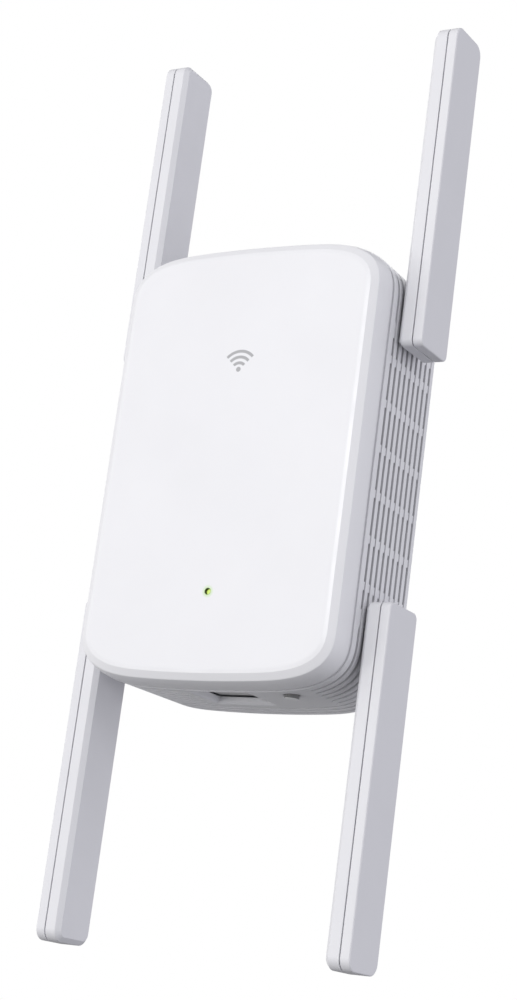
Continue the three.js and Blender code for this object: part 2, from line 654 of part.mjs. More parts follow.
// The right upper antenna's pieces, mirrored for the other three.
function antennas() {
  const pieces = [
    ["outer_shell", antennaOuterShell(), WHITE_PLASTIC],
    ["inner_shell", antennaInnerShell(), WHITE_PLASTIC],
    ["radiator", radiator(), BOARD_GREEN],
    ["hinge_clip", hingeClip(), STEEL],
    ["coax_lead", coaxLead(), CABLE_BLACK],
  ];
  for (const [across, mirrorX] of [["left", true], ["right", false]]) {
    for (const [level, mirrorZ] of [["lower", true], ["upper", false]]) {
      for (const [piece, manifold, look] of pieces) {
        let copy = manifold;
        copy = mirrorX ? copy.mirror([1, 0, 0]) : copy;
        copy = mirrorZ ? copy.mirror([0, 0, 1]) : copy;
        place(`antenna_${level}_${across}_${piece}`, copy, look);
      }
    }
  }
}

// ---------------------------------------------------------------- assembly

place("front_cover", frontCover(), WHITE_PLASTIC);
place("rear_housing", rearHousing(), WHITE_PLASTIC);
plug();
powerBoard();
mainBoard();
lanPort();
statusLight();
pushButton();
housingScrews();
antennas();

export default parts;
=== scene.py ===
"""Wall-plug Wi-Fi range extender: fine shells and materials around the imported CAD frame.

Lengths in the geometry code are millimetres; every mesh is scaled to metres when it is made.
The frame's axes are used throughout: +Z up, the face looks towards -Y, the wall is at +Y.
"""

import json
import math

import bmesh
import bpy
from mathutils import Matrix, Vector


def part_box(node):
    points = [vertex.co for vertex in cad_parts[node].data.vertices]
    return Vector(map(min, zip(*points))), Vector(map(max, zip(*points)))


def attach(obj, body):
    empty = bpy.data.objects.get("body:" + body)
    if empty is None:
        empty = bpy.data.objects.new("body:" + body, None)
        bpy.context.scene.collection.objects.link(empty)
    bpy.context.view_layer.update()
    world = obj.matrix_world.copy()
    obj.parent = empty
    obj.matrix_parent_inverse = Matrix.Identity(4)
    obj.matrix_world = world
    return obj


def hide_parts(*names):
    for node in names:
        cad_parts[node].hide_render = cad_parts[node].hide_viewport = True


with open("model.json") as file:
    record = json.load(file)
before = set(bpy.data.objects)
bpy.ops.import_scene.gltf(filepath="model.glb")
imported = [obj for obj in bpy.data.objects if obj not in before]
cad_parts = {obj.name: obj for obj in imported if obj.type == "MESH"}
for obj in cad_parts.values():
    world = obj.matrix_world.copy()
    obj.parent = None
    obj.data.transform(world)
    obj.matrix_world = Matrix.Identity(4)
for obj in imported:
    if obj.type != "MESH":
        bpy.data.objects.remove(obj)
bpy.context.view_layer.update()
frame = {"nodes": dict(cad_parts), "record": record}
MM = 0.001


def box_mm(node):
    """Lowest and highest corner of a CAD node, in millimetres."""
    low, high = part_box(node)
    return low / MM, high / MM


# ------------------------------------------------------------------ driving dimensions

COVER_LOW, COVER_HIGH = box_mm("front_cover")
HOUSING_FRONT_Y = box_mm("rear_housing")[0].y
JACK_LOW, JACK_HIGH = box_mm("lan_jack")
BUTTON_LOW, BUTTON_HIGH = box_mm("push_button")
LIGHT_LOW, LIGHT_HIGH = box_mm("light_pipe")
OUTER_LOW, OUTER_HIGH = box_mm("antenna_upper_right_outer_shell")
STUB_END_X = box_mm("antenna_upper_right_inner_shell")[0].x

# Body outline: half sizes at the parting line, bowed ends, corners that are superellipses.
BODY_CENTRE_Z = (COVER_LOW.z + COVER_HIGH.z) / 2
HALF_WIDTH = COVER_HIGH.x
HALF_HEIGHT = (COVER_HIGH.z - COVER_LOW.z) / 2
END_BOW = 1.9
CORNER_START_X = 17.22
CORNER_START_Z = 46.78
CORNER_POWER = 3
CORNER_STEPS = 26
WALL = 2.0

# Stations along Y.
MARK_PROUD = 0.02  # the printed mark stands this proud of the face
FACE_Y = COVER_LOW.y + MARK_PROUD
PARTING_GAP = 0.3
PARTING_Y = HOUSING_FRONT_Y - PARTING_GAP / 2
SIDE_END_Y = -20.0
BACK_Y = -18.0
DRAFT = 1.45
BACK_ROUND = 1.8

# Vents: nine rings of grooves round the tub, cut through in seven rows on each side wall.
VENT_RINGS = 9
VENT_FIRST_Y = -46.8
VENT_PITCH = 3.145
VENT_HALF_WIDTH = 0.585
VENT_LIP = 0.26
VENT_LIP_PROFILE = ((1, 0), (0.3, 0.22), (0, 1))  # shares of the lip and of the groove's depth
VENT_ROW_PITCH = 12.7
VENT_LENGTH = 10.5
VENT_OUTER_END = 38.0
BRIDGE_GROOVE_DEPTH = 0.35
GROOVE_DEPTH = 0.9
SHORT_RINGS = 6  # these rings stop beside the port on the underside
GROOVE_STOP_RIGHT = 27.4
GROOVE_STOP_LEFT = -11.5
GROOVE_FADE = 2.2

# Antennas.
ANTENNA_CORNER = 3.4
ANTENNA_ROOT_CORNER = 1.9
ANTENNA_WALL = 1.1
ANTENNA_CHAMFER = 1.3
ANTENNA_EDGE = 0.45
INNER_EDGE_X = 41.4
SEAM_GAP = 0.3
HINGE_Y = (OUTER_LOW.y + OUTER_HIGH.y) / 2
HINGE_Z = 43.5
STUB_RADIUS = 3.5

# Port: its window in the housing, and the mouth and latch slot in the jack.
WINDOW_LOW = (JACK_LOW.x - 0.35, JACK_LOW.y - 0.8)
WINDOW_HIGH = (JACK_HIGH.x + 0.35, JACK_HIGH.y + 0.3)
WINDOW_BEVEL = 0.7
MOUTH_HALF_WIDTH = 5.9
MOUTH_Y = (-46.2, -39.4)
LATCH_HALF_WIDTH = 3.1
LATCH_Y = (-47.1, -46)
MOUTH_DEPTH = 14

# Screws, their posts in both halves, and the holes for the antennas' hinge stubs.
SCREW_PLACES = [(x, z) for x in (-30.0, 30.0) for z in (-50.0, 50.0)]
SCREW_SEAT_Y = -46.0
SCREW_POST_RADIUS = 4.2
SCREW_WELL_RADIUS = 3.1
COVER_POST_RADIUS = 3.2
COVER_PILOT_RADIUS = 1.6
HOUSING_PILOT_RADIUS = 1.8
HINGE_HOLE_RADIUS = 3.9

# Plug: half sizes of the boss and of its flat sides, and the pins.
BOSS_HALF_SIZE = (17.65, 6.85)
BOSS_HALF_FLAT = (13, 3)
PIN_X = 9.5
PIN_RADIUS = 2.0

# Button, status light and printed mark.
BUTTON_AXIS = Vector(
    ((BUTTON_LOW.x + BUTTON_HIGH.x) / 2, (BUTTON_LOW.y + BUTTON_HIGH.y) / 2, 0)
)
BUTTON_RADIUS = 2.0
LIGHT_AXIS = (0.0, 0.0, (LIGHT_LOW.z + LIGHT_HIGH.z) / 2)
LIGHT_HOLE_RADIUS = 0.84
LIGHT_RECESS = 0.72
HALO_RADIUS = 1.9
MARK_PLACE = (0.0, 26.2)  # x and z of the arcs' shared centre
MARK_ARC_RADII = (2.3, 4.0, 5.7)
MARK_HALF_LINE = 0.42
MARK_DOT_RADIUS = 0.72
MARK_DOT_RISE = 0.4

# Painted shade inside the body's own slots and gaps: how far it reaches, and the openness (0 to 1)
# below which it is full and above which there is none.
PAINTED_SHADE_REACH = 1.6
PAINTED_SHADE_FULL = 0.15
PAINTED_SHADE_NONE = 0.75

# Studio, in degrees and metres: the camera (its lens is in millimetres), the place the lights
# are aimed at, and the floor.
CAMERA_AZIMUTH = 32.007
CAMERA_CLIMB = 14.558
CAMERA_ROLL = 7.637
CAMERA_AIM = (-0.004875, -0.03215, -0.00293)
CAMERA_DISTANCE = 0.6163
CAMERA_LENS = 78.06
LAMP_AIM = (0, -0.04, 0)
FLOOR_Z = -2.5
FLOOR_HALF_WIDTH = 12.0
FLOOR_GLOW = 0.5

# ------------------------------------------------------------------ node materials


class Nodes:
    """A small builder for one material's or world's node tree."""

    def __init__(self, tree, emptied=True):
        self.tree = tree
        if emptied:
            tree.nodes.clear()

    def add(self, kind, **values):
        node = self.tree.nodes.new(kind)
        for key, value in values.items():
            if hasattr(node, key):
                setattr(node, key, value)
            else:
                node.inputs[key.replace("_", " ")].default_value = value
        return node

    def link(self, source, target):
        self.tree.links.new(source, target)


def new_material(name):
    material = bpy.data.materials.new(name)
    material.use_nodes = True
    nodes = Nodes(material.node_tree)
    surface = nodes.add("ShaderNodeBsdfPrincipled")
    output = nodes.add("ShaderNodeOutputMaterial")
    nodes.link(surface.outputs["BSDF"], output.inputs["Surface"])
    place = nodes.add("ShaderNodeTexCoord").outputs["Object"]
    return material, nodes, surface, place


def reopened(material):
    """The nodes of a material made earlier, its surface and its object coordinates."""
    nodes = Nodes(material.node_tree, emptied=False)
    surface = next(n for n in nodes.tree.nodes if n.type == "BSDF_PRINCIPLED")
    place = next(n for n in nodes.tree.nodes if n.type == "TEX_COORD").outputs["Object"]
    return nodes, surface, place


def noise(nodes, place, scale, detail=2.0, stretch=(1, 1, 1)):
    mapping = nodes.add("ShaderNodeMapping")
    mapping.inputs["Scale"].default_value = stretch
    nodes.link(place, mapping.inputs["Vector"])
    texture = nodes.add("ShaderNodeTexNoise", Scale=scale, Detail=detail)
    nodes.link(mapping.outputs["Vector"], texture.inputs["Vector"])
    return texture.outputs["Fac"]


def spread(nodes, value, low, high, start=0.3, stop=0.7):
    """A value between start and stop, mapped to the range low to high."""
    node = nodes.add("ShaderNodeMapRange")
    ends = (("From Min", start), ("From Max", stop), ("To Min", low), ("To Max", high))
    for socket, number in ends:
        node.inputs[socket].default_value = number
    nodes.link(value, node.inputs["Value"])
    return node.outputs["Result"]


def mix_colour(nodes, factor, first, second):
    """Mixes two colours; each is a tuple or another node's socket."""
    node = nodes.add("ShaderNodeMix", data_type="RGBA")
    nodes.link(factor, node.inputs["Factor"])
    sockets = [s for s in node.inputs if s.type == "RGBA"]
    for socket, colour in zip(sockets, (first, second)):
        if isinstance(colour, tuple):
            socket.default_value = (*colour, 1)
        else:
            nodes.link(colour, socket)
    return [s for s in node.outputs if s.type == "RGBA"][0]


def shade(colour, factor):
    return tuple(min(channel * factor, 1) for channel in colour)


def bump(nodes, surface, height, depth):
    node = nodes.add("ShaderNodeBump", Strength=1.0, Distance=depth * MM)
    nodes.link(height, node.inputs["Height"])
    nodes.link(node.outputs["Normal"], surface.inputs["Normal"])


def moulded_plastic(
    name, colour, roughness, grain=0.006, grain_scale=2600, tone=0.012, painted_shade=0.0,
):
    """Satin moulding: faint cloudy tone, uneven polish and a fine spark-eroded grain.

    Painted shade is how much darker the plastic's colour is painted deep in its own slots and gaps,
    where the shade falls.
    """
    material, nodes, surface, place = new_material(name)
    cloud = noise(nodes, place, 42, 3)
    darker, lighter = shade(colour, 1 - tone), shade(colour, 1 + tone)
    tinted = mix_colour(nodes, spread(nodes, cloud, 0, 1), darker, lighter)
    if painted_shade:
        # painted shade: the base colour darkens where ambient occlusion finds the plastic enclosed,
        # in slots, grooves and gaps
        open_air = nodes.add("ShaderNodeAmbientOcclusion", samples=12, only_local=True)
        open_air.inputs["Distance"].default_value = PAINTED_SHADE_REACH * MM
        reached = spread(nodes, open_air.outputs["AO"], 0, 1, PAINTED_SHADE_FULL, PAINTED_SHADE_NONE)
        tinted = mix_colour(nodes, reached, shade(colour, 1 - painted_shade), tinted)
    nodes.link(tinted, surface.inputs["Base Color"])
    polish = spread(nodes, noise(nodes, place, 160, 4), roughness - 0.04, roughness + 0.04)
    nodes.link(polish, surface.inputs["Roughness"])
    bump(nodes, surface, noise(nodes, place, grain_scale, 2), grain)
    surface.inputs["IOR"].default_value = 1.5
    return material


def two_tone_plastic(name, colour, tip_colour, tip_z):
    """Moulding whose end below a height is another colour."""
    material = moulded_plastic(name, colour, 0.5)
    nodes, surface, place = reopened(material)
    height = nodes.add("ShaderNodeSeparateXYZ")
    nodes.link(place, height.inputs["Vector"])
    below = spread(nodes, height.outputs["Z"], 1, 0, tip_z * MM, (tip_z + 0.04) * MM)
    base = surface.inputs["Base Color"].links[0].from_socket
    nodes.link(mix_colour(nodes, below, base, tip_colour), surface.inputs["Base Color"])
    return material


def metal(name, colour, roughness, stretch=(1, 1, 1), scratch_scale=900):
    """Plated or bare metal with fine drawn scratches along one direction."""
    material, nodes, surface, place = new_material(name)
    surface.inputs["Metallic"].default_value = 1.0
    streaks = noise(nodes, place, scratch_scale, 5, stretch)
    darker, lighter = shade(colour, 0.9), shade(colour, 1.06)
    tinted = mix_colour(nodes, spread(nodes, streaks, 0, 1), darker, lighter)
    nodes.link(tinted, surface.inputs["Base Color"])
    polish = spread(nodes, streaks, roughness - 0.07, roughness + 0.1)
    nodes.link(polish, surface.inputs["Roughness"])
    bump(nodes, surface, streaks, 0.004)
    return material


def circuit_board():
    """Green solder mask over faint copper tracks, with bright pads here and there."""
    material, nodes, surface, place = new_material("circuit_board")
    mask = (0.012, 0.105, 0.045)
    tracks = nodes.add("ShaderNodeTexBrick", Scale=260.0, Mortar_Size=0.06)
    turned = nodes.add("ShaderNodeMapping")
    turned.inputs["Rotation"].default_value = (math.pi / 2, 0, 0)
    nodes.link(place, turned.inputs["Vector"])
    nodes.link(turned.outputs["Vector"], tracks.inputs["Vector"])
    tracked = mix_colour(nodes, tracks.outputs["Fac"], mask, shade(mask, 1.8))
    dots = nodes.add("ShaderNodeTexVoronoi", Scale=330.0)
    nodes.link(place, dots.inputs["Vector"])
    pads = spread(nodes, dots.outputs["Distance"], 1, 0, 0.1, 0.16)
    nodes.link(mix_colour(nodes, pads, tracked, (0.55, 0.5, 0.36)), surface.inputs["Base Color"])
    nodes.link(spread(nodes, noise(nodes, place, 300, 3), 0.3, 0.42), surface.inputs["Roughness"])
    bump(nodes, surface, tracks.outputs["Fac"], 0.02)
    return material


def glowing_plastic(name, colour, glow, strength):
    """Clear resin that carries a light, with a slight cloudiness in its colour and its glow."""
    material, nodes, surface, place = new_material(name)
    cloud = noise(nodes, place, 1500, 2)
    tinted = mix_colour(nodes, spread(nodes, cloud, 0, 1), shade(colour, 0.9), colour)
    nodes.link(tinted, surface.inputs["Base Color"])
    glowing = mix_colour(nodes, spread(nodes, cloud, 0, 1), shade(glow, 0.92), glow)
    nodes.link(glowing, surface.inputs["Emission Color"])
    surface.inputs["Emission Strength"].default_value = strength
    surface.inputs["Roughness"].default_value = 0.2
    return material


def paint_glow_round_light(material, hole_colour, painted_glow_colour):
    """Dark wall in the light's hole, and the light's glow painted onto the plastic round it, fading
    outwards.
    """
    nodes, surface, place = reopened(material)
    centre = (LIGHT_AXIS[0], FACE_Y, LIGHT_AXIS[2])
    squash = (1, 0.15, 1)  # the hole's depth counts for less than the distance across the face
    flat = nodes.add("ShaderNodeVectorMath", operation="MULTIPLY")
    nodes.link(place, flat.inputs[0])
    flat.inputs[1].default_value = squash
    away = nodes.add("ShaderNodeVectorMath", operation="DISTANCE")
    nodes.link(flat.outputs["Vector"], away.inputs[0])
    away.inputs[1].default_value = Vector([a * b * MM for a, b in zip(centre, squash)])
    distance = away.outputs["Value"]
    base = surface.inputs["Base Color"].links[0].from_socket
    # painted glow: the base colour turns green round the light, standing for the light it throws on
    # the face
    halo = spread(nodes, distance, 1, 0, LIGHT_HOLE_RADIUS * MM, HALO_RADIUS * MM)
    tinted = mix_colour(nodes, halo, base, painted_glow_colour)
    wall_start, wall_end = (LIGHT_HOLE_RADIUS + 0.06) * MM, (LIGHT_HOLE_RADIUS + 0.16) * MM
    wall = spread(nodes, distance, 1, 0, wall_start, wall_end)
    nodes.link(mix_colour(nodes, wall, tinted, hole_colour), surface.inputs["Base Color"])


GLOW = (0.5, 0.7, 0.14)
# The body's white carries painted shade in its slots, grooves and gaps.
BODY_WHITE = moulded_plastic("body_white", (0.80, 0.80, 0.825), 0.38, painted_shade=0.55)
ANTENNA_WHITE = moulded_plastic("antenna_white", (0.735, 0.735, 0.765), 0.46)
JACK_GREY = moulded_plastic("jack_grey", (0.62, 0.62, 0.62), 0.5)
BUTTON_GREY = two_tone_plastic(
    "button_grey", (0.2, 0.2, 0.2), (0.85, 0.85, 0.86), BUTTON_LOW.z + 0.16,
)
MARK_GREY = moulded_plastic("mark_grey", (0.40, 0.40, 0.415), 0.35, grain=0.002)
SLOT_MATERIALS = {
    "white_plastic": BODY_WHITE,
    "grey_plastic": JACK_GREY,
    "dark_plastic": moulded_plastic("dark_plastic", (0.022, 0.022, 0.025), 0.42, tone=0.12),
    "clear_plastic": glowing_plastic("light_resin", (0.36, 0.42, 0.1), GLOW, 0.85),
    "led_white": glowing_plastic("led_lens", (0.8, 0.85, 0.6), (0.75, 0.95, 0.45), 3.0),
    "nickel": metal("nickel", (0.66, 0.64, 0.60), 0.24, (1, 0.06, 1)),
    "steel": metal("steel", (0.50, 0.50, 0.52), 0.34),
    "aluminium": metal("aluminium", (0.62, 0.63, 0.64), 0.38, (1, 1, 0.05)),
    "copper": metal("copper", (0.72, 0.36, 0.18), 0.3, (1, 1, 0.08)),
    "circuit_board": circuit_board(),
    "black_epoxy": moulded_plastic("black_epoxy", (0.014, 0.014, 0.015), 0.55, 0.01, 1600, 0.15),
    "ferrite": moulded_plastic("ferrite", (0.045, 0.04, 0.038), 0.65, 0.02, 1200, 0.15),
    "capacitor_sleeve": moulded_plastic("capacitor_sleeve", (0.02, 0.03, 0.05), 0.3, tone=0.1),
    "cable_jacket": moulded_plastic("cable_jacket", (0.015, 0.015, 0.016), 0.5, 0.01, 1500, 0.12),
}

# ------------------------------------------------------------------ mesh helpers


def mesh_object(name, points, faces):
    """An object from points in millimetres, with its normals turned out."""
    mesh = bpy.data.meshes.new(name)
    mesh.from_pydata([Vector(p) * MM for p in points], [], faces)
    mesh.validate()
    piece = bpy.data.objects.new(name, mesh)
    bpy.context.scene.collection.objects.link(piece)
    turn_out(piece)
    return piece


def turn_out(piece):
    """Turns every face's normal outwards."""
    work = bmesh.new()
    work.from_mesh(piece.data)
    bmesh.ops.recalc_face_normals(work, faces=work.faces)
    work.to_mesh(piece.data)
    work.free()


def apply_modifiers(piece):
    bpy.context.view_layer.update()
    graph = bpy.context.evaluated_depsgraph_get()
    made = bpy.data.meshes.new_from_object(piece.evaluated_get(graph))
    old = piece.data
    piece.modifiers.clear()
    piece.data = made
    bpy.data.meshes.remove(old)


def boolean(piece, operation, cutters):
    """Joins or cuts a piece with each cutter in turn, and removes the cutters."""
    for cutter in cutters:
        step = piece.modifiers.new("boolean", "BOOLEAN")
        step.operation = operation
        step.solver = "MANIFOLD"
        step.object = cutter
    apply_modifiers(piece)
    for cutter in cutters:
        old = cutter.data
        bpy.data.objects.remove(cutter)
        bpy.data.meshes.remove(old)


def dress(piece, material, body, replaced=(), sharp=32):
    """Smooth shading with crisp edges, a material, and the piece's place in the frame."""
    piece.data.shade_smooth()
    piece.data.set_sharp_from_angle(angle=math.radians(sharp))
    weighted = piece.modifiers.new("weighted", "WEIGHTED_NORMAL")
    weighted.keep_sharp = True
    apply_modifiers(piece)
    piece.data.materials.clear()
    piece.data.materials.append(material)
    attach(piece, body)
    if replaced:
        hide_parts(*replaced)


def ring_faces(rows, columns, skip=()):
    """Quads between neighbouring closed rows, without the (row, column) pairs in skip."""
    faces = []
    for row in range(rows - 1):
        for column in range(columns):
            if (row, column) in skip:
                continue
            a = row * columns + column
            b = row * columns + (column + 1) % columns
            faces.append((a, b, b + columns, a + columns))
    return faces


def lofted(name, rings):
    """A closed skin over rings of the same number of points, capped at both ends."""
    columns = len(rings[0])
    points = [p for ring in rings for p in ring]
    faces = ring_faces(len(rings), columns)
    faces.append(tuple(range(columns)))
    faces.append(tuple(range(len(points) - columns, len(points))))
    return mesh_object(name, points, faces)


def axis_turn(axis):
    """Rotation that takes +Z to the named axis."""
    targets = {"X": Vector((1, 0, 0)), "Y": Vector((0, 1, 0)), "Z": Vector((0, 0, 1))}
    return Vector((0, 0, 1)).rotation_difference(targets[axis])


def turned(name, profile, axis, centre, segments=48):
    """A solid of revolution; profile points are (radius, station), and no radius is zero."""
    turn = axis_turn(axis)
    rings = []
    for radius, station in profile:
        ring = []
        for i in range(segments):
            angle = 2 * math.pi * i / segments
            flat = Vector((radius * math.cos(angle), radius * math.sin(angle), station))
            ring.append(turn @ flat + Vector(centre))
        rings.append(ring)
    return lofted(name, rings)


def rounded(corners, radii, steps=5):
    """Points of a convex polygon whose corners are arcs of one radius, or of a radius each."""
    if not isinstance(radii, tuple):
        radii = (radii,) * len(corners)
    points = []
    for i, (corner, radius) in enumerate(zip(corners, radii)):
        here = Vector(corner)
        back = (Vector(corners[i - 1]) - here).normalized()
        ahead = (Vector(corners[(i + 1) % len(corners)]) - here).normalized()
        half = back.angle(ahead) / 2
        centre = here + (back + ahead).normalized() * (radius / math.sin(half))
        start = here + back * (radius / math.tan(half)) - centre
        stop = here + ahead * (radius / math.tan(half)) - centre
        for step in range(steps + 1):
            share = step / steps
            spoke = (start.normalized() * (1 - share) + stop.normalized() * share).normalized()
            points.append(centre + spoke * radius)
    return points


def oblong(low, high, z, inset, radius):
    """A level rectangle with round corners, shrunk by an inset."""
    corners = [
        (low[0] + inset, low[1] + inset), (high[0] - inset, low[1] + inset),
        (high[0] - inset, high[1] - inset), (low[0] + inset, high[1] - inset),
    ]
    return [(p.x, p.y, z) for p in rounded(corners, radius)]


# ------------------------------------------------------------------ body outline


def perimeter(side_stations):
    """Samples round the outline, clockwise from the front: (zone, value, sign x, sign z)."""
    corner = [math.pi / 2 * s / CORNER_STEPS for s in range(1, CORNER_STEPS)]
    end = [CORNER_START_X * s / 10 for s in range(11)]
    samples = [("end", x, 1, 1) for x in end]
    samples += [("corner", angle, 1, 1) for angle in corner]
    samples += [("side", z, 1, 1) for z in reversed(side_stations)]
    samples += [("corner", angle, 1, -1) for angle in reversed(corner)]
    samples += [("end", x, 1, -1) for x in reversed(end)]
    samples += [("end", x, -1, -1) for x in end[1:]]
    samples += [("corner", angle, -1, -1) for angle in corner]
    samples += [("side", z, -1, 1) for z in side_stations]
    samples += [("corner", angle, -1, 1) for angle in reversed(corner)]
    samples += [("end", x, -1, 1) for x in reversed(end[1:])]
    return samples


def outline_point(half_width, half_height, sample):
    """Place (x, z) of a sample on the outline of the given half sizes."""
    zone, value, sign_x, sign_z = sample
    if zone == "side":
        return sign_x * half_width, value
    if zone == "end":
        x = value
        rise = half_height - END_BOW * (x / half_width) ** 2
    else:
        reach_x = half_width - CORNER_START_X
        reach_z = half_height - END_BOW - CORNER_START_Z
        long, lift = math.sin(value), math.cos(value)
        scale = (long**CORNER_POWER + lift**CORNER_POWER) ** (-1 / CORNER_POWER)
        x = CORNER_START_X + reach_x * long * scale
        rise = half_height - END_BOW * (x / half_width) ** 2 - reach_z * (1 - lift * scale)
    return sign_x * x, BODY_CENTRE_Z + sign_z * rise


def body_ring(samples, y, half_width, half_height):
    ring = []
    for sample in samples:
        x, z = outline_point(half_width, half_height, sample)
        ring.append((x, y, z))
    return ring


# ------------------------------------------------------------------ front cover


# Cover profile: station along Y, and what is added to the half width and half height there.
# The face's rim is given as distance back from the face, and inset from the face's edge.
FACE_EDGE = (-2.78, -3.12)
FACE_RIM = ((0, 1.7), (0, 1.3), (0.03, 1.02), (0.1, 0.74), (0.28, 0))
COVER_CHAMFER = (
    (-58.05, -1.15, -1.46), (-57.9, -0.97, -1.29), (-57.78, -0.86, -1.2), (-57.5, -0.79, -1.1),
)
COVER_SKIRT = (
    (-56.4, -0.54, -0.66), (-54.8, -0.28, -0.31), (-53.2, -0.11, -0.11), (-52.2, -0.02, -0.02),
    (-51.76, 0, 0), (-51.68, -0.03, -0.03), (-51.65, -0.1, -0.1), (-51.63, -0.55, -0.55),
)
COVER_TONGUE = (
    (-51.35, -0.8, -0.8), (-51.35, -2.3, -2.3), (-48.7, -2.5, -2.3), (-48.5, -2.7, -2.5),
    (-48.5, -3.7, -3.7),
)
COVER_INSIDE = ((-53.6, -3.7, -3.7), (-54.4, -2.5, -2.6), (FACE_Y + WALL, -3.3, -3.8))


def front_cover():
    side = [BODY_CENTRE_Z + CORNER_START_Z * (s / 8 - 1) for s in range(17)]
    samples = perimeter(side)
    across, along = FACE_EDGE
    stations = [(FACE_Y + back, across - inset, along - inset) for back, inset in FACE_RIM]
    stations += [*COVER_CHAMFER, *COVER_SKIRT, *COVER_TONGUE, *COVER_INSIDE]
    rings = [body_ring(samples, y, HALF_WIDTH + da, HALF_HEIGHT + db) for y, da, db in stations]
    cover = lofted("cover_shell", rings)
    root = FACE_Y + WALL - 0.5
    guide = [(2.4, root), (2.4, -53.2), (2.2, -53)]
    hole = [
        (LIGHT_HOLE_RADIUS + 0.16, FACE_Y - 0.2), (LIGHT_HOLE_RADIUS + 0.03, FACE_Y + 0.06),
        (LIGHT_HOLE_RADIUS, -57.6), (1.4, -57.5), (1.4, -52),
    ]
    boolean(cover, "UNION", [turned("guide", guide, "Y", LIGHT_AXIS)])
    boolean(cover, "DIFFERENCE", [turned("hole", hole, "Y", LIGHT_AXIS)])
    radius = COVER_POST_RADIUS
    post = [(radius, root), (radius, -48.5), (radius - 0.2, -48.3)]
    boolean(cover, "UNION", [turned("post", post, "Y", (x, 0, z)) for x, z in SCREW_PLACES])
    radius = COVER_PILOT_RADIUS
    pilot = [(radius, -56), (radius, -48.6), (radius + 0.3, -48)]
    pilots = [turned("pilot", pilot, "Y", (x, 0, z), 32) for x, z in SCREW_PLACES]
    boolean(cover, "DIFFERENCE", pilots)
    dress(cover, BODY_WHITE, "housing", ["front_cover"], sharp=15)


# ------------------------------------------------------------------ rear housing


def vent_rows():
    """(low, high) of each row of slots along Z."""
    rows = []
    for row in range(-3, 4):
        low = row * VENT_ROW_PITCH - VENT_LENGTH / 2
        high = low + VENT_LENGTH
        rows.append((max(low, -VENT_OUTER_END), min(high, VENT_OUTER_END)))
    return rows


def groove_depth(ring, sample, x, z):
    """Depth of a vent ring's groove at a place on the outline."""
    if sample[0] == "side" and abs(z) < CORNER_START_Z - 3:
        return BRIDGE_GROOVE_DEPTH
    if z > 0 or ring >= SHORT_RINGS:
        return GROOVE_DEPTH
    beyond = max(x - GROOVE_STOP_RIGHT, GROOVE_STOP_LEFT - x) / GROOVE_FADE
    return GROOVE_DEPTH * min(max(beyond, 0), 1)


def wall_sizes(y):
    """Half sizes of the tub's outside at station y, with the draft of its side walls."""
    draft = DRAFT * (y - PARTING_Y) / (SIDE_END_Y - PARTING_Y)
    return HALF_WIDTH - min(draft, DRAFT), HALF_HEIGHT


# The step in the tub's front edge that makes the parting groove: distance back, and inset.
PARTING_GROOVE = ((0, 0.6), (0.06, 0.55), (1.0, 0.55), (1.04, 0.5), (1.08, 0.12), (1.2, 0))


